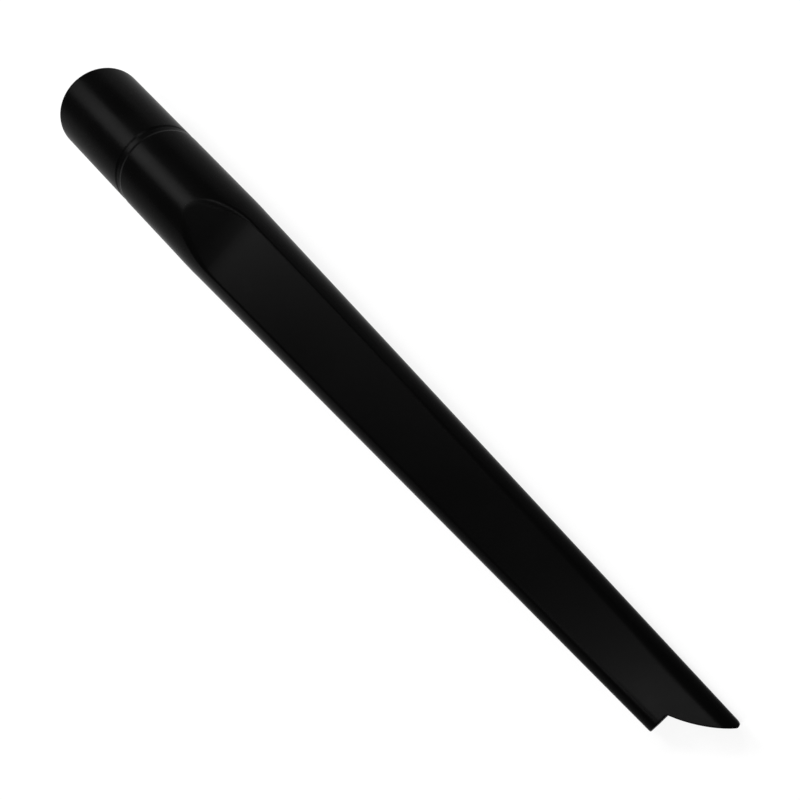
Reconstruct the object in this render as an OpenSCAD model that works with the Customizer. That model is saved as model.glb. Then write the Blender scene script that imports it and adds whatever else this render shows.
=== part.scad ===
// Crevice nozzle for a vacuum cleaner, moulded in one piece.
// A round socket tube runs along +X from its open mouth and narrows into a long
// flattened nozzle. The end is cut to a point on the +Y side and to a square notch
// on the -Y side. Y is the width, Z is the height over the two flats, and the
// centre of the mouth is the origin. Lengths are in millimetres.

/* [Socket] */
// Outer diameter of the tube at its mouth
mouth_d = 38; // [37:0.5:44]
// Inner diameter of the socket, a push fit on a 32 mm wand
socket_d = 32; // [29:0.25:33]
// Depth of the socket, from the mouth to its stop shoulder
socket_depth = 50; // [35:1:70]
// How far the stop shoulder stands in from the socket wall
stop_step = 0.8; // [0.4:0.1:2]
// Lead-in chamfer inside the mouth
lead_in = 1; // [0.4:0.1:1.4]
// Rounding of the rim on the outside of the mouth
rim_round = 1.2; // [0.4:0.1:1.8]

/* [Tube] */
// Length of the round tube, from the mouth to the neck where the nozzle begins
tube_len = 101; // [85:1:130]
// Outer diameter of the tube at the neck
neck_d = 35.5; // [34.5:0.25:37]
// How far the nozzle begins inside the end of the tube, on the radius
neck_step = 0.1; // [0.05:0.01:0.3]
// Length of the soft shoulder that ends the tube
neck_shoulder = 1.2; // [0.8:0.1:2]
// Wall of the nozzle at the neck
neck_wall = 2.5; // [1.8:0.1:2.8]

/* [Ring groove] */
// Distance of the middle of the ring groove from the mouth
ring_x = 49.7; // [30:0.1:75]
// Width of the ring groove over its sloping walls
ring_w = 4.6; // [3.6:0.1:6.4]
// Width of the floor of the ring groove
ring_floor_w = 2.2; // [0.8:0.1:3]
// Depth of the ring groove
ring_depth = 0.35; // [0.1:0.05:0.6]
// How much further out the tube stands behind the ring groove, on the radius
ring_step = 0.15; // [0:0.05:0.4]

/* [Nozzle] */
// Length of the nozzle, from the neck to the notched end
nozzle_len = 219; // [150:1:300]
// Width of the nozzle at the notched end
tip_w = 19; // [15:0.5:26]
// Width of the flat face at the notched end
tip_flat_w = 12; // [8:0.5:14]
// Height of the nozzle over its flats at the notched end
tip_h = 9.5; // [7:0.25:12]
// Wall of the nozzle at the notched end
tip_wall = 1.8; // [1:0.1:2.2]

/* [Flats] */
// Distance from the neck to the line where the slanting facet meets the long flat
flat_gap = 9.5; // [6:0.5:20]
// Height over the two flats at that line
flat_start_h = 24.6; // [21:0.2:28]
// Slope of the facet against the axis, in degrees
facet_angle = 16.5; // [12:0.5:24]
// Radius of the soft bend between the facet and the flat
bend_r = 34; // [8:1:40]

/* [Tip] */
// How far the point reaches past the notched end
point_reach = 14.2; // [8:0.2:18]
// Width of the square notch, from the short side
notch_w = 6.85; // [4:0.05:9]
// Radius of the curved cut between the notch and the point
cut_r = 37; // [22:1:60]
// Radius in the inner corner of the notch
notch_corner_r = 0.7; // [0.3:0.1:1.2]
// Radius on the outer corner of the notch
notch_edge_r = 0.4; // [0.2:0.1:0.8]
// Radius on the point
point_r = 0.9; // [0.3:0.1:1.4]

/* [Hidden] */
$fn = 96;
// Overrun of every cut past the face that it leaves
over = 1;
// Steps along each rounded stretch of an outline
arc_steps = 6;
mouth_r = mouth_d / 2;
socket_r = socket_d / 2;
airway_r = socket_r - stop_step;
neck_r = neck_d / 2;
tip_r = tip_w / 2;
notch_x = tube_len + nozzle_len;
point_x = notch_x + point_reach;
end_x = point_x + over;
// Most of the wall beside the lead-in that the rounding of the rim may take
rim_share = 0.7;
rim_r = min(rim_round, (mouth_r - socket_r - lead_in) * rim_share);
// Fall of the tube's radius for each millimetre of its length
tube_fall = (mouth_r - neck_r) / tube_len;
// Side arcs at the notched end, through the edge of the flat and the widest line
tip_inset = (tip_w - tip_flat_w) / 2;
tip_side_r = (pow(tip_h / 2, 2) + pow(tip_inset, 2)) / (2 * tip_inset);
tip_side_y = tip_r - tip_side_r;
// The long flats, as half heights at their start and at the notched end
flat_x = tube_len + flat_gap;
flat_z = flat_start_h / 2;
flat_fall = (flat_z - tip_h / 2) / (notch_x - flat_x);
flat_angle = atan(flat_fall);
// Narrowing of the nozzle on each side, for each millimetre of its length
side_fall = (neck_r - neck_step - tip_r) / nozzle_len;
// How far the point's side and the notch's corner stand from the middle plane
point_y = tip_r - side_fall * point_reach;
notch_y = notch_w - tip_r;

// Radius of the tube's outside at x, which falls evenly from the mouth
function tube_r(x) = mouth_r - tube_fall * x;

// Points on an arc round [cx, cy] from angle a to angle b
function arc_pts(cx, cy, r, a, b) =
    [for (i = [0 : arc_steps]) let (t = a + (b - a) * i / arc_steps) [cx + r * cos(t), cy + r * sin(t)]];

// Height at x of a line that starts at the height start_z over x0 and falls evenly
function line_at(x, start_z, fall, x0) = start_z - fall * (x - x0);

// Centre of the circle of radius r through p and q, on the side away from the cut
function chord_centre(p, q, r) =
    let (m = (p + q) / 2, d = q - p, half = norm(d) / 2, lift = sqrt(r * r - half * half))
    m + [-d[1], d[0]] / norm(d) * lift;

// Half outline of the tube's outside, as [radius, x], with its rim, ring groove and shoulder
module tube_outline() {
    ring_a = ring_x - ring_w / 2;
    ring_b = ring_x + ring_w / 2;
    floor_a = ring_x - ring_floor_w / 2;
    floor_b = ring_x + ring_floor_w / 2;
    rim = [for (p = arc_pts(rim_r, mouth_r - rim_r, rim_r, 180, 90)) [p[1], p[0]]];
    groove = [
        [tube_r(ring_a) - ring_step / 2, ring_a],
        [tube_r(floor_a) - ring_depth, floor_a],
        [tube_r(floor_b) - ring_depth, floor_b],
        [tube_r(ring_b) + ring_step / 2, ring_b],
    ];
    // The shoulder ends inside the nozzle, two steps below its skin
    shoulder_drop = 3 * neck_step;
    shoulder = [
        [neck_r, tube_len],
        [neck_r - shoulder_drop, tube_len + neck_shoulder],
        [0, tube_len + neck_shoulder],
    ];
    polygon(concat([[0, 0]], rim, groove, shoulder));
}

// The outside of the tube, turned about the X axis
module tube_skin() {
    rotate([0, 90, 0])
        rotate_extrude()
            tube_outline();
}

// Side view between the two facets and the two flats, set in by a wall at the bend and at the end
module flats_outline(wall_a, wall_b) {
    // The inner lines run parallel to the outer ones, so their corner moves along the bisector
    mean = (facet_angle + flat_angle) / 2;
    half_turn = (facet_angle - flat_angle) / 2;
    bend_x = flat_x - wall_a * sin(mean) / cos(half_turn);
    bend_z = flat_z - wall_a * cos(mean) / cos(half_turn);
    last_z = tip_h / 2 - wall_b / cos(flat_angle);
    fall = (bend_z - last_z) / (notch_x - bend_x);
    top_x = bend_x - (mouth_r + over - bend_z) / tan(facet_angle);
    // The bend is an arc that touches both lines
    reach = bend_r * tan(half_turn);
    arc_x = bend_x - reach * cos(facet_angle) + bend_r * sin(facet_angle);
    arc_z = bend_z + reach * sin(facet_angle) + bend_r * cos(facet_angle);
    bend = arc_pts(arc_x, arc_z, bend_r, -90 - facet_angle, -90 - atan(fall));
    upper = concat(
        [[-over, mouth_r + over], [top_x, mouth_r + over]],
        bend,
        [[end_x, line_at(end_x, bend_z, fall, bend_x)]]
    );
    lower = [for (i = [len(upper) - 1 : -1 : 0]) [upper[i][0], -upper[i][1]]];
    polygon(concat(upper, lower));
}

// The flats outline as a block right across the part
module flats_block(wall_a, wall_b) {
    rotate([90, 0, 0])
        linear_extrude(height = mouth_d + 2 * over, center = true)
            flats_outline(wall_a, wall_b);
}

// One rounded side of the nozzle, a cone whose middle line leaves the X axis as it narrows
module side_cone(wall_a, wall_b) {
    r_a = neck_r - neck_step - wall_a;
    r_b = tip_side_r - wall_b;
    r_fall = (r_a - r_b) / nozzle_len;
    long = end_x - tube_len;
    translate([tube_len - over, -tip_side_y * over / nozzle_len, 0])
        rotate([0, 90, atan(tip_side_y / nozzle_len)])
            cylinder(h = long + over, r1 = r_a + r_fall * over, r2 = r_a - r_fall * long);
}

// The +Y half of the nozzle: its rounded side and the wedge inside that side's centre line
module nozzle_half(wall_a, wall_b) {
    end_y = tip_side_y * (end_x - tube_len) / nozzle_len;
    intersection() {
        union() {
            side_cone(wall_a, wall_b);
            linear_extrude(height = mouth_d, center = true)
                polygon([[tube_len, 0], [end_x, -end_y], [end_x, end_y]]);
        }
        translate([0, 0, -mouth_d])
            cube([end_x + mouth_d, mouth_d, 2 * mouth_d]);
    }
}

// Both halves of the nozzle
module nozzle_sides(wall_a, wall_b) {
    nozzle_half(wall_a, wall_b);
    mirror([0, 1, 0])
        nozzle_half(wall_a, wall_b);
}

// Outside of the whole part before its end is cut
module outer_form() {
    intersection() {
        union() {
            tube_skin();
            nozzle_sides(0, 0);
        }
        flats_block(0, 0);
    }
}

// Inside of the part: the lead-in, the socket, the airway behind its stop shoulder and the nozzle
module inner_form() {
    rotate([0, 90, 0]) {
        translate([0, 0, -over])
            cylinder(h = lead_in + over, r1 = socket_r + lead_in + over, r2 = socket_r);
        cylinder(h = socket_depth, r = socket_r);
    }
    intersection() {
        union() {
            rotate([0, 90, 0])
                cylinder(h = tube_len, r = airway_r);
            nozzle_sides(neck_wall, tip_wall);
        }
        flats_block(neck_wall, tip_wall);
    }
}

// Plan view of all that the end cut keeps
module end_outline() {
    wide = mouth_d;
    centre = chord_centre([notch_x, notch_y], [point_x, point_y], cut_r);
    // Fillet in the notch's corner, which touches the end line and the curved cut
    fillet_x = notch_x + notch_corner_r;
    fillet_y = centre[1] - sqrt(pow(cut_r + notch_corner_r, 2) - pow(fillet_x - centre[0], 2));
    fillet = [fillet_x, fillet_y];
    fillet_touch = centre + (fillet - centre) * cut_r / (cut_r + notch_corner_r);
    // Round on the point, which touches the curved cut and the side
    round_y = point_y - point_r;
    round_x = centre[0] + sqrt(pow(cut_r - point_r, 2) - pow(round_y - centre[1], 2));
    round_c = [round_x, round_y];
    round_touch = centre + (round_c - centre) * cut_r / (cut_r - point_r);
    far_x = end_x + wide;
    beyond = [round_touch, [round_x, point_y], [round_x, wide], [far_x, wide], [far_x, round_touch[1]]];
    difference() {
        union() {
            translate([-over, -wide / 2])
                square([notch_x + over, wide]);
            intersection() {
                translate(centre)
                    circle(r = cut_r);
                translate([notch_x - over, notch_y])
                    square([point_reach + 2 * over, wide]);
            }
            difference() {
                polygon([[notch_x - over, notch_y + over], [notch_x, fillet_y], fillet_touch]);
                translate(fillet)
                    circle(r = notch_corner_r);
            }
        }
        difference() {
            polygon(beyond);
            translate(round_c)
                circle(r = point_r);
        }
        difference() {
            translate([notch_x - notch_edge_r, -wide])
                square([notch_edge_r + over, wide - tip_r + notch_edge_r]);
            translate([notch_x - notch_edge_r, notch_edge_r - tip_r])
                circle(r = notch_edge_r);
        }
    }
}

// The whole tool
module crevice_tool() {
    color([0.03, 0.03, 0.032])
        intersection() {
            difference() {
                outer_form();
                inner_form();
            }
            linear_extrude(height = mouth_d + 2 * over, center = true)
                end_outline();
        }
}

crevice_tool();
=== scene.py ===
"""A vacuum crevice tool in black satin polypropylene, on a pale floor under soft lamps.

The tool is one closed skin, worked out on a grid that runs along the tool and round it.
Lengths in the classes are millimetres, and a mesh turns them to metres as it is made.
+X runs from the socket's mouth to the tip, Y is the width and Z the height over the flats.
"""

import logging
import math
from dataclasses import dataclass, field
from enum import Enum

import bpy
import numpy as np
from mathutils import Matrix, Vector


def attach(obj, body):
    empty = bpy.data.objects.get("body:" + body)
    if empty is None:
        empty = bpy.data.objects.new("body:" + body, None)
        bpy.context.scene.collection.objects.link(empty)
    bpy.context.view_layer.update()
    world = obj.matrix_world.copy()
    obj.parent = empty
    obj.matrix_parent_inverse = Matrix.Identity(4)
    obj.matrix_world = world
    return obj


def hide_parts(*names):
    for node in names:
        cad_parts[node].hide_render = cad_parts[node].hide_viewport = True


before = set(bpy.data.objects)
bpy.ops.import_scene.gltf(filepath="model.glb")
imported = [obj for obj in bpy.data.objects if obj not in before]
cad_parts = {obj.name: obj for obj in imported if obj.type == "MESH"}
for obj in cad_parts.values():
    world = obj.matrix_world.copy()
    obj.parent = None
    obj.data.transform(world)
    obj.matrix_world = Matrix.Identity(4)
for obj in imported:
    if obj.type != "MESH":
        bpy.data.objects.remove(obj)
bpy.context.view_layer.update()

MM = 0.001
# Degrees between two faces from which the edge between them is drawn sharp
SHARP_ANGLE = 32.0
LOG = logging.getLogger("crevice_tool_scene")


class Skin(Enum):
    """The two faces of the moulded wall."""

    OUTER = "outer"
    INNER = "inner"


class RayKind(Enum):
    """Rays that meet the pale surroundings themselves, and not the light they give."""

    CAMERA = "Is Camera Ray"
    GLOSSY = "Is Glossy Ray"
    TRANSMISSION = "Is Transmission Ray"


def linear(hex_colour: str) -> tuple[float, float, float, float]:
    """Turns an sRGB hex colour into linear light.

    Args:
        hex_colour: The colour as "#rrggbb".

    Returns:
        Red, green and blue, linear, and a full alpha.
    """
    parts = np.array([int(hex_colour[i : i + 2], 16) for i in (1, 3, 5)]) / 255.0
    light = np.where(parts <= 0.04045, parts / 12.92, ((parts + 0.055) / 1.055) ** 2.4)
    return (float(light[0]), float(light[1]), float(light[2]), 1.0)


def add_node(
    tree: bpy.types.NodeTree,
    kind: str,
    settings: dict[str, object] | None = None,
    inputs: dict[str | int, object] | None = None,
) -> bpy.types.Node:
    """Adds a node, sets it, and links or fills its inputs.

    Args:
        tree: The node tree that gets the node.
        kind: Blender's type name of the node.
        settings: Properties of the node itself.
        inputs: For each input, a value, or an output socket to link from.

    Returns:
        The new node.
    """
    node = tree.nodes.new(kind)
    for name, value in (settings or {}).items():
        setattr(node, name, value)
    for name, value in (inputs or {}).items():
        if isinstance(value, bpy.types.NodeSocket):
            tree.links.new(value, node.inputs[name])
        else:
            node.inputs[name].default_value = value
    return node


def soft_step(x: np.ndarray, start: float, end: float) -> np.ndarray:
    """Rises from 0 at start to 1 at end, level at both, as 3 t squared less 2 t cubed."""
    t = np.clip((x - start) / (end - start), 0.0, 1.0)
    return t * t * (3.0 - 2.0 * t)


def soft_max(a: np.ndarray, b: np.ndarray, width: np.ndarray | float) -> np.ndarray:
    """The larger of a and b, with a parabola across their meeting.

    Where a and b differ by less than width, the rest of that width, squared and over four
    widths, is added to the larger.

    Args:
        a: First field.
        b: Second field.
        width: Difference at which the blend begins.

    Returns:
        The blended field.
    """
    near = np.maximum(width - np.abs(a - b), 0.0)
    return np.maximum(a, b) + near * near / (4.0 * width)


def stretches(parts: tuple[tuple[float, float, float], ...]) -> np.ndarray:
    """Places along X, for each part from its start to just short of its end by its step."""
    return np.concatenate([np.arange(*part) for part in parts])


@dataclass
class SocketTube:
    """The round tube that pushes on the wand.

    Its lengths are those of the part's source, apart from two. The ring groove is drawn
    shallower, since at its full depth it shows more strongly under these lamps than on the
    real tool, and the source leaves the bore's corners sharp.

    Attributes:
        length: From the mouth to the nozzle.
        mouth_r: Outer radius at the mouth.
        neck_r: Outer radius at the nozzle.
        socket_r: Radius of the bore that takes the wand.
        socket_depth: Where the stop shoulder stands.
        airway_r: Radius of the bore behind the shoulder.
        lead_in: Width and depth of the slope at the bore's mouth.
        soft: Size of the small slopes on the bore's corners.
        rim_r: Radius of the rim's rounding.
        ring_x: Middle of the ring groove.
        ring_w: Width of the groove at the surface.
        ring_floor_w: Width of its floor.
        ring_depth: Depth of its floor.
        ring_step: How much lower the mouth's side of the groove is than the other.
        ring_fade: Distance from the groove at which that step has died away.
        wall_rings: Rings of the grid along the bore.
    """

    length: float = 101.0
    mouth_r: float = 19.0
    neck_r: float = 17.75
    socket_r: float = 16.0
    socket_depth: float = 50.0
    airway_r: float = 15.2
    lead_in: float = 1.0
    soft: float = 0.12
    rim_r: float = 1.2
    ring_x: float = 49.7
    ring_w: float = 4.6
    ring_floor_w: float = 2.2
    ring_depth: float = 0.24
    ring_step: float = 0.06
    ring_fade: float = 30.0
    wall_rings: int = 8

    def outer_r(self, x: np.ndarray) -> np.ndarray:
        """Radius of the outside.

        It falls evenly from the mouth to the neck. To that comes the groove, as straight lines
        between its edges and its floor.

        Args:
            x: Places along the tool.

        Returns:
            The radius at each place.
        """
        fall = (self.mouth_r - self.neck_r) / self.length
        edge, floor, step = self.ring_w / 2, self.ring_floor_w / 2, self.ring_step / 2
        at = [-self.ring_fade, -edge, -floor, floor, edge, self.ring_fade]
        height = [0.0, -step, -self.ring_depth, -self.ring_depth, step, 0.0]
        return self.mouth_r - fall * x + np.interp(x - self.ring_x, at, height)

    def rim_rows(self, count: int) -> tuple[np.ndarray, np.ndarray]:
        """The rounded rim, from the mouth's flat face to the outside.

        Args:
            count: Number of rows on the quarter turn.

        Returns:
            Places along X and radii, a quarter circle of the rim's radius under the outside.
        """
        turn = np.linspace(0.0, math.pi / 2, count)
        x = self.rim_r * (1.0 - np.cos(turn))
        return x, self.outer_r(x) - self.rim_r * (1.0 - np.sin(turn))

    def socket_rows(self) -> tuple[np.ndarray, np.ndarray]:
        """The inside from the stop shoulder out to the mouth.

        Returns:
            Places along X and radii: the shoulder, the socket's wall and the lead-in.
        """
        first_x, last_x = self.socket_depth - self.soft, self.lead_in + self.soft
        wall_x = np.linspace(first_x, last_x, self.wall_rings)
        x = [self.socket_depth, self.socket_depth, *wall_x, self.lead_in - self.soft, 0.0]
        wall_r = np.full(wall_x.size, self.socket_r)
        r = [self.airway_r + self.soft, self.socket_r - self.soft, *wall_r]
        r += [self.socket_r + self.soft, self.socket_r + self.lead_in]
        return np.array(x), np.array(r)


@dataclass
class Nozzle:
    """The flattened nozzle: two cone sides, two long flats and the facets that lead to them.

    Attributes:
        start_x: Where the sides begin to leave the axis.
        length: From there to the notched end.
        neck_r: Radius of the sides at the start.
        neck_blend: How softly the round tube passes into the sides.
        tip_r: Half width over the sides at the notched end.
        tip_flat: Half width of the flat there.
        tip_z: Half height over the flats there.
        flat_gap: From the start to the meeting of facet and flat.
        flat_z: Half height at that meeting.
        facet_angle: Slant of the facet, in degrees.
        bend_width: How softly facet and flat meet.
        neck_wall: Wall at the start.
        tip_wall: Wall at the notched end.
        edge_width: Rounding between flat and side.
        facet_edge_width: The same along the facet.
        facet_edge_rise: Where that width comes in.
        facet_edge_fall: Where it goes out again.
        tip_edge_width: The rounding at the tip.
        tip_edge_rise: Where that width comes in.
    """

    start_x: float = 101.0
    length: float = 219.0
    neck_r: float = 17.65
    neck_blend: float = 0.2
    tip_r: float = 9.5
    tip_flat: float = 6.0
    tip_z: float = 4.75
    flat_gap: float = 9.5
    flat_z: float = 12.3
    facet_angle: float = 16.5
    bend_width: float = 1.4
    neck_wall: float = 2.5
    tip_wall: float = 1.8
    edge_width: float = 0.42
    facet_edge_width: float = 1.15
    facet_edge_rise: tuple[float, float] = (93.0, 100.0)
    facet_edge_fall: tuple[float, float] = (104.0, 122.0)
    tip_edge_width: float = 0.5
    tip_edge_rise: tuple[float, float] = (215.0, 315.0)

    @property
    def end_x(self) -> float:
        """Where the notched end stands."""
        return self.start_x + self.length

    @property
    def flat_x(self) -> float:
        """Where the facet meets the long flat."""
        return self.start_x + self.flat_gap

    def side(self, x: np.ndarray, skin: Skin) -> tuple[np.ndarray, np.ndarray]:
        """Radius of a rounded side and how far its centre stands from the axis.

        At the tip the radius is that of the arc through the side's middle and both edges of
        the flats. From the neck to there it changes evenly, and so does the centre, which
        leaves the axis softly.

        Args:
            x: Places along the tool.
            skin: Outer or inner face of the wall. The inner radius is less by the wall.

        Returns:
            The radius and the centre's distance.
        """
        inset = self.tip_r - self.tip_flat
        last_r = (self.tip_z**2 + inset**2) / (2.0 * inset)
        share = (x - self.start_x) / self.length
        drift = (self.tip_r - last_r) * share
        centre = soft_max(drift, np.zeros_like(share), self.neck_blend)
        first_r = self.neck_r
        if skin is Skin.INNER:
            first_r, last_r = self.neck_r - self.neck_wall, last_r - self.tip_wall
        return first_r + (last_r - first_r) * share, centre

    def height(self, x: np.ndarray, skin: Skin) -> np.ndarray:
        """Half height over the flats: the higher of the facet's line and the flat's, bent softly.

        On the inner face the meeting of the two lines is moved in by the wall, square to both.

        Args:
            x: Places along the tool.
            skin: Outer or inner face of the wall.

        Returns:
            Half the height, without the rounded sides.
        """
        steep = math.radians(self.facet_angle)
        easy = math.atan((self.flat_z - self.tip_z) / (self.end_x - self.flat_x))
        bend_x, bend_z, last_z = self.flat_x, self.flat_z, self.tip_z
        if skin is Skin.INNER:
            mean, half_turn = (steep + easy) / 2, (steep - easy) / 2
            bend_x -= self.neck_wall * math.sin(mean) / math.cos(half_turn)
            bend_z -= self.neck_wall * math.cos(mean) / math.cos(half_turn)
            last_z -= self.tip_wall / math.cos(easy)
        fall = (bend_z - last_z) / (self.end_x - bend_x)
        facet = bend_z + (bend_x - x) * math.tan(steep)
        return soft_max(facet, bend_z - fall * (x - bend_x), self.bend_width)

    def edge(self, x: np.ndarray) -> np.ndarray:
        """How wide the rounding between flat and side is, wider along the facet and at the tip.

        Args:
            x: Places along the tool.

        Returns:
            The plain width, with soft steps up to the other two.
        """
        on_facet = soft_step(x, *self.facet_edge_rise) * (1.0 - soft_step(x, *self.facet_edge_fall))
        at_tip = soft_step(x, *self.tip_edge_rise)
        width = self.edge_width + (self.facet_edge_width - self.edge_width) * on_facet
        return width + (self.tip_edge_width - self.edge_width) * at_tip


@dataclass
class TipCut:
    """The end in plan: a square notch, a curved cut and a point, all cut straight down.

    Attributes:
        end_x: Where the notched end stands.
        side_y: Half width of the tool there.
        point_x: How far the point would reach without its rounding.
        point_y: Distance of the point from the middle plane.
        notch_w: Width of the notched end, from the side to the inner corner.
        cut_r: Radius of the curved cut.
        corner_r: Radius in the inner corner.
        edge_r: Radius on the outer corner.
        point_r: Radius on the point.
    """

    end_x: float = 320.0
    side_y: float = 9.5
    point_x: float = 334.2
    point_y: float = 8.972
    notch_w: float = 6.85
    cut_r: float = 37.0
    corner_r: float = 0.7
    edge_r: float = 0.4
    point_r: float = 0.9

    def reach(self, y: np.ndarray) -> np.ndarray:
        """How far the tool reaches along X at each y.

        The line is made of the end line, an arc on the notch's outer corner, a fillet in its
        inner corner, the large arc of the cut and an arc on the point. The large arc runs
        through the inner corner and the point, and the small ones touch it.

        Args:
            y: Distances from the middle plane.

        Returns:
            The end's place along X.
        """
        notch = np.array([self.end_x, self.notch_w - self.side_y])
        point = np.array([self.point_x, self.point_y])
        across = point - notch
        lift = math.sqrt(self.cut_r**2 - (across @ across) / 4.0)
        square = np.array([-across[1], across[0]]) / math.hypot(*across)
        cx, cy = (notch + point) / 2 + square * lift
        fill_x = self.end_x + self.corner_r
        fill_y = cy - math.sqrt((self.cut_r + self.corner_r) ** 2 - (fill_x - cx) ** 2)
        touch_y = cy + (fill_y - cy) * self.cut_r / (self.cut_r + self.corner_r)
        round_y = self.point_y - self.point_r
        round_x = cx + math.sqrt((self.cut_r - self.point_r) ** 2 - (round_y - cy) ** 2)
        last_y = cy + (round_y - cy) * self.cut_r / (self.cut_r - self.point_r)
        edge_y = self.edge_r - self.side_y

        def arc(level: np.ndarray, middle: float, radius: float) -> np.ndarray:
            """Half chord of a circle at a distance from its middle."""
            return np.sqrt(np.maximum(radius**2 - (level - middle) ** 2, 0.0))

        corner = self.end_x - self.edge_r + arc(np.minimum(y, edge_y), edge_y, self.edge_r)
        x = np.where(y < edge_y, corner, self.end_x)
        x = np.where(y > fill_y, fill_x - arc(y, fill_y, self.corner_r), x)
        x = np.where(y > touch_y, cx + arc(y, cy, self.cut_r), x)
        return np.where(y > last_y, round_x + arc(np.maximum(y, last_y), round_y, self.point_r), x)


@dataclass(frozen=True)
class GridPlan:
    """How closely the rings and lines of the skin lie.

    Attributes:
        side_lines: Lines of a quarter on the rounded side.
        edge_lines: Lines across the edge of the flat.
        flat_lines: Lines on the flat.
        edge_x: Places at which edge_reach is given.
        edge_reach: How far the edge's lines reach to each side of it.
        edge_share: The most that they may take of the side's angle.
        edge_top: The highest angle at which the edge is looked for, in degrees.
        rim_rings: Rings on the rim.
        rim_like: Where the grid lines lie as they do on the rim.
        first_x: The first ring behind the rim.
        mouth_rings: Rings from there to the groove.
        groove_rings: Rings over the groove.
        tube_rings: Rings from the groove to neck_x.
        neck_x: Where the rings get close for the facet.
        outside: Stretches of the outside from there on, each with start, end and step.
        trim_x: Where the rings begin to lean over to the end cut.
        trim_rings: Rings from there to the lip.
        trim_crowd: The power that draws these together towards the lip, 1 leaving them even.
        trim_turns: How often their places are worked out again.
        lip_rings: Rings on the outer lip.
        inner_trim_rings: Rings inside, from the lip back to trim_x.
        inner_lip_rings: Rings on the inner lip.
        inside: Stretches of the inside, from trim_x to behind the neck.
        airway_x: The first of the airway's widely spaced rings.
        airway_rings: Rings from there to the stop shoulder.
        shoulder_gap: How far behind the shoulder the airway's rings end.
        socket_like: Where the grid lines lie as they do in the socket.
        nearest: The least distance from the axis at which the skin is looked for.
        spare: How far outside the mouth's radius the skin is looked for.
        halvings: How often the interval is halved in which the skin lies.
    """

    side_lines: int = 18
    edge_lines: int = 22
    flat_lines: int = 20
    edge_x: tuple[float, ...] = (90.0, 100.0, 112.0, 225.0, 300.0, 320.0)
    edge_reach: tuple[float, ...] = (9.0, 2.4, 1.3, 1.3, 3.2, 3.8)
    edge_share: float = 0.6
    edge_top: float = 62.0
    rim_rings: int = 8
    rim_like: float = 20.0
    first_x: float = 1.4
    mouth_rings: int = 16
    groove_rings: int = 46
    tube_rings: int = 10
    neck_x: float = 88.0
    outside: tuple[tuple[float, float, float], ...] = (
        (88.0, 91.0, 0.3),
        (91.0, 101.0, 0.2),
        (101.0, 113.5, 0.35),
        (113.5, 225.0, 3.2),
        (225.0, 296.0, 2.2),
    )
    trim_x: float = 296.0
    trim_rings: int = 22
    trim_crowd: float = 1.35
    trim_turns: int = 12
    lip_rings: int = 5
    inner_trim_rings: int = 14
    inner_lip_rings: int = 4
    inside: tuple[tuple[float, float, float], ...] = ((291.0, 114.0, -6.0), (113.0, 92.0, -1.2))
    airway_x: float = 91.0
    airway_rings: int = 8
    shoulder_gap: float = 0.1
    socket_like: float = 60.0
    nearest: float = 0.5
    spare: float = 2.0
    halvings: int = 40


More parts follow.
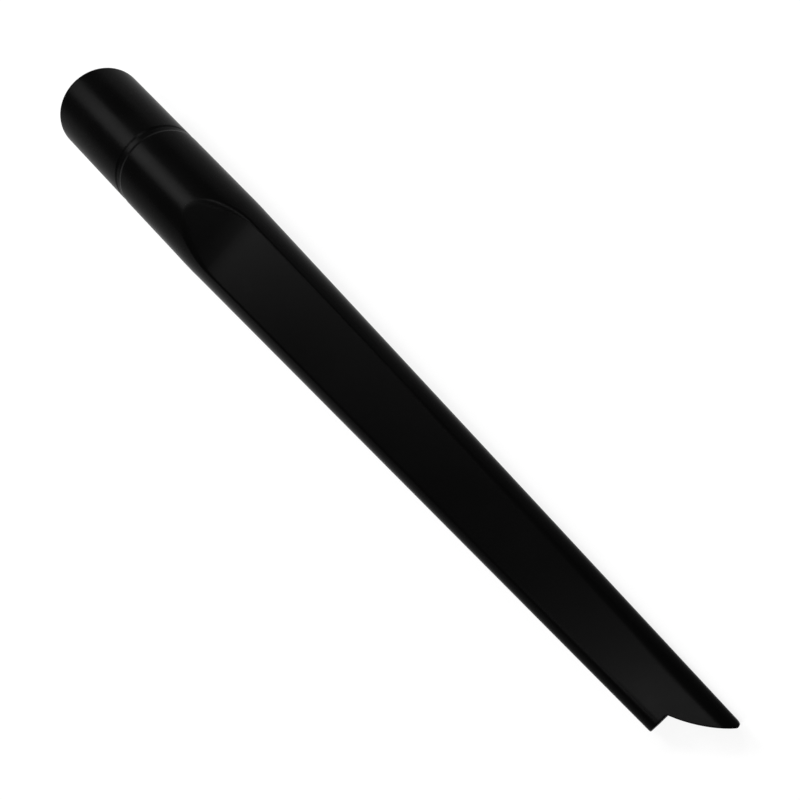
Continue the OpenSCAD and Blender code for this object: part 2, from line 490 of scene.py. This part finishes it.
@dataclass
class CreviceTool:
    """The whole moulded piece, as one closed skin that runs out along the tool and back inside.

    Attributes:
        tube: The socket tube.
        nozzle: The flattened nozzle.
        cut: The end in plan.
        plan: How closely the grid lies.
        lip_r: Radius of the outer lip's rounding.
        inner_lip_r: Radius of the inner lip's rounding.
    """

    tube: SocketTube = field(default_factory=SocketTube)
    nozzle: Nozzle = field(default_factory=Nozzle)
    cut: TipCut = field(default_factory=TipCut)
    plan: GridPlan = field(default_factory=GridPlan)
    lip_r: float = 0.35
    inner_lip_r: float = 0.25

    def field_at(self, x: np.ndarray, y: np.ndarray, z: np.ndarray, skin: Skin) -> np.ndarray:
        """Distance outside the skin, below zero inside it.

        The side's field is the distance from a line across the centres, less the radius. The
        flat's is the height less the half height. The larger counts, softly blended.

        Args:
            x: Places along the tool.
            y: Distances from the middle plane.
            z: Heights over the axis.
            skin: Outer or inner face of the wall.

        Returns:
            The field, in millimetres.
        """
        radius, centre = self.nozzle.side(x, skin)
        tube_r = self.tube.outer_r(x) if skin is Skin.OUTER else self.tube.airway_r
        radius = -soft_max(-radius, -tube_r, self.nozzle.neck_blend)
        side = np.hypot(np.maximum(np.abs(y) - centre, 0.0), z) - radius
        flat = np.abs(z) - self.nozzle.height(x, skin)
        return soft_max(side, flat, self.nozzle.edge(x))

    def skin_r(self, x: np.ndarray, angle: np.ndarray, skin: Skin) -> np.ndarray:
        """Distance of the skin from the axis, found by halving an interval many times.

        Args:
            x: Places along the tool, of the same shape as angle.
            angle: Angles round the axis from +Y to +Z.
            skin: Outer or inner face of the wall.

        Returns:
            The distance at which the field is zero.
        """
        low = np.full(x.shape, self.plan.nearest)
        high = np.full(x.shape, self.tube.mouth_r + self.plan.spare)
        for _ in range(self.plan.halvings):
            middle = (low + high) / 2.0
            inside = self.field_at(x, middle * np.cos(angle), middle * np.sin(angle), skin) < 0.0
            low, high = np.where(inside, middle, low), np.where(inside, high, middle)
        return (low + high) / 2.0

    def angles(self, x: np.ndarray, skin: Skin) -> np.ndarray:
        """Angles of the grid lines at each x, close together on the edge of the flat.

        In each quarter the lines run evenly from the side to the edge, over the edge, and on to
        the flat's middle, and the other quarters are its mirror images.

        Args:
            x: Places along the tool, one for each row.
            skin: Outer or inner face of the wall.

        Returns:
            A row of angles for each x, rising from 0 to just short of a full turn.
        """
        plan = self.plan
        radius, centre = self.nozzle.side(np.maximum(x, self.tube.length), skin)
        height = np.minimum(self.nozzle.height(x, skin), radius)
        edge_y = centre + np.sqrt(np.maximum(radius**2 - height**2, 0.0))
        edge = np.minimum(np.arctan2(height, edge_y), math.radians(plan.edge_top))
        reach = np.interp(x, plan.edge_x, plan.edge_reach)
        half = np.minimum(reach / np.hypot(edge_y, height), edge * plan.edge_share)
        stops = np.stack([np.zeros_like(x), edge - half, edge + half, np.full_like(x, math.pi / 2)])
        counts = (plan.side_lines, plan.edge_lines, plan.flat_lines)
        knots = np.concatenate([[0], np.cumsum(counts)])
        place = np.arange(knots[-1])
        part = np.searchsorted(knots, place, side="right") - 1
        share = (place - knots[part]) / np.array(counts)[part]
        quarter = stops[part].T * (1 - share) + stops[part + 1].T * share
        top = np.full((x.size, 1), math.pi / 2)
        mirror = math.pi - np.concatenate([top, quarter[:, :0:-1]], axis=1)
        half_turn = np.concatenate([quarter, mirror], axis=1)
        return np.concatenate([half_turn, half_turn + math.pi], axis=1)

    def rows(self, x: np.ndarray, skin: Skin) -> np.ndarray:
        """Rings of points on a skin, one for each x.

        Args:
            x: Places along the tool.
            skin: Outer or inner face of the wall.

        Returns:
            Rings by lines by three.
        """
        angle = self.angles(x, skin)
        along = np.broadcast_to(x[:, None], angle.shape)
        r = self.skin_r(along, angle, skin)
        return np.stack([along, r * np.cos(angle), r * np.sin(angle)], axis=-1)

    def trimmed_rows(self, shares: np.ndarray, skin: Skin, short: float) -> np.ndarray:
        """Rings that run on from trim_x and lean over to follow the end cut.

        A ring's place along X is trim_x plus a share of the way to the end at the point's own
        y, less a small length. That y changes with x, so the ring is worked out in turns.

        Args:
            shares: How far along each ring lies, 1 being the last.
            skin: Outer or inner face of the wall.
            short: How far before the cut the last ring stops.

        Returns:
            The rings of points.
        """
        start = self.plan.trim_x
        ends = start + shares * (self.nozzle.end_x - start)
        angle = self.angles(ends, skin)
        along = np.broadcast_to(ends[:, None], angle.shape)
        for _ in range(self.plan.trim_turns):
            r = self.skin_r(along, angle, skin)
            last = self.cut.reach(r * np.cos(angle)) - short
            along = start + shares[:, None] * (last - start)
        r = self.skin_r(along, angle, skin)
        return np.stack([along, r * np.cos(angle), r * np.sin(angle)], axis=-1)

    def lip_rows(self, ring: np.ndarray, skin: Skin, radius: float, count: int) -> np.ndarray:
        """Rings that turn from a skin on to the cut end, over a small quarter round.

        Each ring moves the last one into the wall along its own normal by the radius less the
        cosine's share, and out towards the cut by the sine's share.

        Args:
            ring: The skin's last ring, which lies one radius before the cut.
            skin: Outer or inner face of the wall.
            radius: The radius of the rounding.
            count: Number of rings.

        Returns:
            The new rings, from the skin to the cut face.
        """
        x, y, z = ring[:, 0], ring[:, 1], ring[:, 2]
        step = 1e-3
        slope_y = self.field_at(x, y + step, z, skin) - self.field_at(x, y - step, z, skin)
        slope_z = self.field_at(x, y, z + step, skin) - self.field_at(x, y, z - step, skin)
        length = np.hypot(slope_y, slope_z)
        sign = -1.0 if skin is Skin.OUTER else 1.0
        turn = np.linspace(0.0, math.pi / 2, count + 1)[1:, None]
        inward = sign * radius * (1.0 - np.cos(turn))
        new_y = y + inward * slope_y / length
        new_z = z + inward * slope_z / length
        new_x = self.cut.reach(new_y) - radius * (1.0 - np.sin(turn))
        return np.stack([new_x, new_y, new_z], axis=-1)

    def round_rows(self, x: np.ndarray, radius: np.ndarray, like: float, skin: Skin) -> np.ndarray:
        """Circular rings, with the grid lines as they lie at one place.

        Args:
            x: Places along the tool.
            radius: The ring's radius at each.
            like: The place that the grid lines are taken from.
            skin: Outer or inner face of the wall.

        Returns:
            Rings by lines by three.
        """
        angle = self.angles(np.full(x.size, like), skin)
        y, z = radius[:, None] * np.cos(angle), radius[:, None] * np.sin(angle)
        return np.stack([np.broadcast_to(x[:, None], angle.shape), y, z], axis=-1)

    def outside_x(self) -> np.ndarray:
        """Places of the outer rings, from behind the rim to where they begin to lean.

        Returns:
            Places along X, with none given twice.
        """
        plan = self.plan
        groove = self.tube.ring_x - self.tube.ring_w, self.tube.ring_x + self.tube.ring_w
        return np.concatenate(
            [
                np.linspace(plan.first_x, groove[0], plan.mouth_rings, endpoint=False),
                np.linspace(*groove, plan.groove_rings, endpoint=False),
                np.linspace(groove[1], plan.neck_x, plan.tube_rings, endpoint=False),
                stretches(plan.outside),
            ]
        )

    def inside_x(self) -> np.ndarray:
        """Places of the inner rings, from the leaning ones back to the stop shoulder.

        Returns:
            Places along X.
        """
        plan = self.plan
        last = self.tube.socket_depth + plan.shoulder_gap
        airway = np.linspace(plan.airway_x, last, plan.airway_rings)
        return np.concatenate([stretches(plan.inside), airway])

    def skin_grid(self) -> np.ndarray:
        """All rings in order: rim, outside, cut end, inside, socket, and back to the rim.

        Returns:
            Points in millimetres, as rings by lines by three.
        """
        plan = self.plan
        rim = self.round_rows(*self.tube.rim_rows(plan.rim_rings), plan.rim_like, Skin.OUTER)
        outside = self.rows(self.outside_x(), Skin.OUTER)
        shares = 1.0 - (1.0 - np.linspace(0.0, 1.0, plan.trim_rings)) ** plan.trim_crowd
        last = self.trimmed_rows(shares, Skin.OUTER, self.lip_r)
        outer_lip = self.lip_rows(last[-1], Skin.OUTER, self.lip_r, plan.lip_rings)
        shares = np.linspace(1.0, 0.0, plan.inner_trim_rings)
        back = self.trimmed_rows(shares, Skin.INNER, self.inner_lip_r)
        inner_lip = self.lip_rows(back[0], Skin.INNER, self.inner_lip_r, plan.inner_lip_rings)
        inside = self.rows(self.inside_x(), Skin.INNER)
        socket = self.round_rows(*self.tube.socket_rows(), plan.socket_like, Skin.INNER)
        return np.concatenate(
            [rim, outside, last, outer_lip, inner_lip[::-1], back, inside, socket]
        )

    def build(self, finish: "BlackPolypropylene") -> bpy.types.Object:
        """Makes the closed mesh and dresses it.

        Args:
            finish: The finish that the piece is moulded in.

        Returns:
            The piece.
        """
        return closed_grid("crevice_tool_skin", self.skin_grid(), finish.material())


def closed_grid(name: str, points: np.ndarray, material: bpy.types.Material) -> bpy.types.Object:
    """Joins rings of points to a skin that closes both ways, as a bent tube's does.

    Each face joins a point to the next on its ring and to the same two on the next ring.

    Args:
        name: The object's name.
        points: Rings by lines by three, in millimetres.
        material: What the skin is made of.

    Returns:
        The object, smooth but for its sharp corners.
    """
    rings, lines = points.shape[:2]
    ring, line = np.meshgrid(np.arange(rings), np.arange(lines), indexing="ij")
    next_ring, next_line = (ring + 1) % rings, (line + 1) % lines
    corners = [ring * lines + line, next_ring * lines + line]
    corners += [next_ring * lines + next_line, ring * lines + next_line]
    faces = np.stack(corners, axis=-1).reshape(-1, 4)[:, ::-1]
    mesh = bpy.data.meshes.new(name)
    mesh.vertices.add(rings * lines)
    mesh.vertices.foreach_set("co", (points.reshape(-1, 3) * MM).astype(np.float32).ravel())
    mesh.loops.add(faces.size)
    mesh.loops.foreach_set("vertex_index", faces.astype(np.int32).ravel())
    mesh.polygons.add(len(faces))
    mesh.polygons.foreach_set("loop_start", np.arange(0, faces.size, 4, dtype=np.int32))
    mesh.update(calc_edges=True)
    mesh.validate()
    mesh.shade_smooth()
    mesh.set_sharp_from_angle(angle=math.radians(SHARP_ANGLE))
    mesh.materials.append(material)
    piece = bpy.data.objects.new(name, mesh)
    bpy.context.scene.collection.objects.link(piece)
    return piece


@dataclass(frozen=True)
class BlackPolypropylene:
    """Polypropylene with carbon black, injection moulded against a finely blasted steel mould.

    The eye sees an almost black satin: broad soft highlights, a fine even grain, and faint
    clouding where the melt cooled at different rates.

    The specular level is far below the usual half. It is matched to the picture, where the
    steep sides stay dark against white and only the lamps leave a stripe.

    Attributes:
        colour: The darker tone of the clouding.
        pale_colour: The paler tone.
        ior: That of polypropylene.
        specular_level: Strength of the mirrored light.
        roughness: The middle roughness, which gives the satin.
        roughness_spread: How far the clouding takes it up and down.
        grain_mm: Size of the grain.
        grain_depth_mm: Height of the grain.
        grain_strength: How fully the grain turns the surface.
        cloud_mm: Size of the clouds.
        cloud_range: What the cloud noise seldom leaves.
    """

    colour: str = "#040404"
    pale_colour: str = "#060606"
    ior: float = 1.49
    specular_level: float = 0.0097
    roughness: float = 0.27
    roughness_spread: float = 0.03
    # Blasting grit of about 0.2 mm, drawn at twice that so that it shows
    grain_mm: float = 0.4
    grain_depth_mm: float = 0.006
    grain_strength: float = 0.5
    cloud_mm: float = 22.0
    cloud_range: tuple[float, float] = (0.3, 0.7)

    def noise(
        self,
        tree: bpy.types.NodeTree,
        place: bpy.types.NodeSocket,
        size_mm: float,
        detail: float,
        roughness: float,
    ) -> bpy.types.NodeSocket:
        """Adds a solid noise.

        Args:
            tree: The material's node tree.
            place: Where on the piece the noise is read.
            size_mm: Size of its grains.
            detail: Number of finer layers.
            roughness: Strength of each finer layer.

        Returns:
            The noise, from 0 to 1.
        """
        scale = 1.0 / (size_mm * MM)
        solid = {"noise_dimensions": "3D"}
        inputs = {"Vector": place, "Scale": scale, "Detail": detail, "Roughness": roughness}
        return add_node(tree, "ShaderNodeTexNoise", solid, inputs).outputs["Fac"]

    def material(self) -> bpy.types.Material:
        """Builds the material's nodes.

        Returns:
            The material.
        """
        made = bpy.data.materials.new("black_satin_polypropylene")
        made.use_nodes = True
        tree = made.node_tree
        tree.nodes.clear()
        place = add_node(tree, "ShaderNodeTexCoord").outputs["Object"]
        grain = self.noise(tree, place, self.grain_mm, detail=2.0, roughness=0.6)
        cloud = self.noise(tree, place, self.cloud_mm, detail=3.0, roughness=0.5)
        tone = add_node(
            tree,
            "ShaderNodeMix",
            {"data_type": "RGBA"},
            {0: cloud, 6: linear(self.colour), 7: linear(self.pale_colour)},
        )
        rough = add_node(
            tree,
            "ShaderNodeMapRange",
            inputs={
                "Value": cloud,
                "From Min": self.cloud_range[0],
                "From Max": self.cloud_range[1],
                "To Min": self.roughness - self.roughness_spread,
                "To Max": self.roughness + self.roughness_spread,
            },
        )
        depth = self.grain_depth_mm * MM
        bump = add_node(
            tree,
            "ShaderNodeBump",
            inputs={"Strength": self.grain_strength, "Distance": depth, "Height": grain},
        )
        shader = add_node(
            tree,
            "ShaderNodeBsdfPrincipled",
            inputs={
                "Base Color": tone.outputs[2],
                "Roughness": rough.outputs["Result"],
                "IOR": self.ior,
                "Specular IOR Level": self.specular_level,
                "Normal": bump.outputs["Normal"],
            },
        )
        add_node(tree, "ShaderNodeOutputMaterial", inputs={"Surface": shader.outputs["BSDF"]})
        return made


@dataclass
class PhotoCamera:
    """A close camera of 26 mm equivalent, which looks down the tool from over its tip.

    Its place and its turn come from fitting the tool's sizes to the outline in the picture.

    Attributes:
        place: Where the camera stands, in millimetres.
        along: Direction of the tool's axis in the picture plane.
        across: Direction square to that in the picture plane.
        view: Direction into the picture.
        axis_right: How much of the axis runs to the right in the picture.
        axis_down: How much of it runs down.
        focal_px: Focal length in pixels.
        picture_px: Width of the picture.
        sensor_mm: Width of the sensor that the focal length is given on.
        clip: Nearest and farthest distance, in metres.
    """

    place: tuple[float, float, float] = (325.71, 30.892, 249.227)
    along: tuple[float, float, float] = (0.8929109, -0.0524863, -0.4471636)
    across: tuple[float, float, float] = (0.0043008, 0.9941308, -0.1080991)
    view: tuple[float, float, float] = (-0.4502128, -0.0945997, -0.8878960)
    axis_right: float = 0.69482
    axis_down: float = 0.71918
    focal_px: float = 867.0
    picture_px: float = 800.0
    sensor_mm: float = 24.0
    clip: tuple[float, float] = (0.01, 50.0)

    def build(self) -> bpy.types.Object:
        """Makes the camera and gives it to the scene.

        Returns:
            The camera.
        """
        data = bpy.data.cameras.new("photo_camera")
        data.sensor_width = self.sensor_mm
        data.lens = self.focal_px / self.picture_px * self.sensor_mm
        data.clip_start, data.clip_end = self.clip
        along, across, view = (Vector(v) for v in (self.along, self.across, self.view))
        right = along * self.axis_right + across * self.axis_down
        up = across * self.axis_right - along * self.axis_down
        camera = bpy.data.objects.new("photo_camera", data)
        turn = Matrix((right.normalized(), up.normalized(), -view.normalized())).transposed()
        camera.matrix_world = Matrix.Translation(Vector(self.place) * MM) @ turn.to_4x4()
        bpy.context.scene.collection.objects.link(camera)
        bpy.context.scene.camera = camera
        return camera


@dataclass(frozen=True)
class SoftBox:
    """A lamp with an oblong soft face that looks at one point of the tool.

    Attributes:
        name: The lamp's name.
        azimuth: Direction of the lamp from +X towards +Y, in degrees.
        elevation: Height of the lamp over the tool's middle plane, in degrees.
        width: Width of its face, in millimetres.
        depth: The other side of its face, in millimetres.
        brightness: Light that leaves its face, where 1 is a white wall's.
        distance: Distance from the point that it looks at, in millimetres.
        target: The point it looks at, in millimetres.
    """

    name: str
    azimuth: float
    elevation: float
    width: float
    depth: float
    brightness: float
    distance: float = 1400.0
    target: tuple[float, float, float] = (165.0, 0.0, 0.0)

    def build(self) -> bpy.types.Object:
        """Makes the lamp.

        Returns:
            The lamp, whose power is brightness times pi times its area.
        """
        data = bpy.data.lights.new(self.name, "AREA")
        data.shape = "RECTANGLE"
        data.size, data.size_y = self.width * MM, self.depth * MM
        data.energy = self.brightness * math.pi * data.size * data.size_y
        az, el = math.radians(self.azimuth), math.radians(self.elevation)
        away = Vector((math.cos(az) * math.cos(el), math.sin(az) * math.cos(el), math.sin(el)))
        lamp = bpy.data.objects.new(self.name, data)
        lamp.location = (Vector(self.target) + away * self.distance) * MM
        lamp.rotation_mode = "QUATERNION"
        lamp.rotation_quaternion = away.to_track_quat("Z", "Y")
        bpy.context.scene.collection.objects.link(lamp)
        return lamp


@dataclass
class Studio:
    """A pale floor that carries the tool at its heel and its tip, soft lamps and a white surround.

    Attributes:
        heel: X and Z of the tool's lowest point on the neck.
        toe: X and Z of its lowest point at the tip.
        floor_size: Length of the floor's sides.
        floor_colour: Colour of the card.
        floor_own_light: How much of the floor shines by itself, 1 being all.
        surround_light: Strength of the even light.
        wall_white: Up to where the surround is white, as the sine of the height over the horizon.
        wall_top: Where it has faded to the even light, likewise.
        lamps: The soft lamps.
    """

    heel: tuple[float, float] = (91.8, -17.87)
    toe: tuple[float, float] = (332.6, -4.30)
    floor_size: float = 6000.0
    floor_colour: str = "#f4f4f4"
    floor_own_light: float = 0.85
    surround_light: float = 0.1
    wall_white: float = 0.17
    wall_top: float = 0.28
    lamps: tuple[SoftBox, ...] = (
        SoftBox("lamp_beyond_the_socket", 181.0, 43.0, 570.0, 380.0, 15.2),
        SoftBox("lamp_over_the_facet", 182.0, 60.0, 130.0, 900.0, 11.8),
        SoftBox("lamp_at_the_side", 141.0, 50.0, 340.0, 210.0, 23.0),
        SoftBox("lamp_over_the_tip", 320.0, 77.2, 290.0, 130.0, 56.0),
        SoftBox("lamp_beside_the_tip", 281.0, 64.0, 190.0, 340.0, 21.0),
    )

    def build_floor(self) -> bpy.types.Object:
        """Makes the floor, a plane through the heel and the toe that is level across the tool.

        Returns:
            The floor.
        """
        (x0, z0), (x1, z1) = self.heel, self.toe
        slope = (z1 - z0) / (x1 - x0)
        half = self.floor_size / 2
        middle = (x0 + x1) / 2
        corners = [
            (middle + sx * half, sy * half, z0 + slope * (middle + sx * half - x0))
            for sx, sy in ((-1, -1), (1, -1), (1, 1), (-1, 1))
        ]
        mesh = bpy.data.meshes.new("floor")
        mesh.from_pydata([tuple(c * MM for c in corner) for corner in corners], [], [(0, 1, 2, 3)])
        mesh.materials.append(self.floor_material())
        floor = bpy.data.objects.new("floor", mesh)
        bpy.context.scene.collection.objects.link(floor)
        return floor

    def seen_directly(self, tree: bpy.types.NodeTree) -> bpy.types.NodeSocket:
        """Adds nodes that tell a ray of RayKind from one that only gathers light.

        Args:
            tree: The node tree of the floor or the world.

        Returns:
            An output that is 1 for a ray of these kinds and 0 for any other.
        """
        path = add_node(tree, "ShaderNodeLightPath")
        seen = path.outputs[RayKind.CAMERA.value]
        for kind in (RayKind.GLOSSY, RayKind.TRANSMISSION):
            both = {0: seen, 1: path.outputs[kind.value]}
            sum_up = {"operation": "ADD", "use_clamp": True}
            seen = add_node(tree, "ShaderNodeMath", sum_up, both).outputs[0]
        return seen

    def floor_material(self) -> bpy.types.Material:
        """Makes matt white card for the floor.

        Seen straight or mirrored, part of it shines by itself, so that it stays white and the
        tool's shadow on it is light.

        Returns:
            The material.
        """
        made = bpy.data.materials.new("matt_white_card")
        made.use_nodes = True
        tree = made.node_tree
        tree.nodes.clear()
        own = add_node(
            tree,
            "ShaderNodeMath",
            {"operation": "MULTIPLY"},
            {0: self.seen_directly(tree), 1: self.floor_own_light},
        )
        colour = linear(self.floor_colour)
        card = add_node(tree, "ShaderNodeBsdfDiffuse", inputs={"Color": colour})
        glow = add_node(tree, "ShaderNodeEmission", inputs={"Strength": 1.0})
        mix = add_node(
            tree,
            "ShaderNodeMixShader",
            inputs={0: own.outputs[0], 1: card.outputs["BSDF"], 2: glow.outputs["Emission"]},
        )
        add_node(tree, "ShaderNodeOutputMaterial", inputs={"Surface": mix.outputs["Shader"]})
        return made

    def build_surround(self) -> None:
        """Makes the world, a weak even light with a low white wall all round.

        Only rays of RayKind meet the wall. It is white up to wall_white and fades evenly to
        the weak light at wall_top.
        """
        world = bpy.data.worlds.new("surround")
        bpy.context.scene.world = world
        world.use_nodes = True
        tree = world.node_tree
        tree.nodes.clear()
        ray = add_node(tree, "ShaderNodeTexCoord").outputs["Generated"]
        height = add_node(tree, "ShaderNodeSeparateXYZ", inputs={"Vector": ray}).outputs["Z"]
        wall = add_node(
            tree,
            "ShaderNodeMapRange",
            inputs={
                "Value": height,
                "From Min": self.wall_white,
                "From Max": self.wall_top,
                "To Min": 1.0,
                "To Max": self.surround_light,
            },
        )
        strength = add_node(
            tree,
            "ShaderNodeMix",
            {"data_type": "FLOAT"},
            {0: self.seen_directly(tree), 2: self.surround_light, 3: wall.outputs["Result"]},
        )
        white = {"Color": (1.0, 1.0, 1.0, 1.0), "Strength": strength.outputs[0]}
        back = add_node(tree, "ShaderNodeBackground", inputs=white)
        add_node(tree, "ShaderNodeOutputWorld", inputs={"Surface": back.outputs["Background"]})

    def build(self) -> None:
        """Makes the floor, the lamps and the surround."""
        self.build_floor()
        for lamp in self.lamps:
            lamp.build()
        self.build_surround()


def main() -> None:
    """Builds the scene and reports each piece."""
    logging.basicConfig(level=logging.INFO, format="%(name)s: %(message)s")
    PhotoCamera().build()
    LOG.info("camera set")
    Studio().build()
    LOG.info("studio built")
    tool = CreviceTool().build(BlackPolypropylene())
    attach(tool, "root")
    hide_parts("crevice_tool")
    LOG.info("%s: %d faces", tool.name, len(tool.data.polygons))
    bpy.context.scene.view_settings.view_transform = "Standard"


if __name__ == "__main__":
    main()
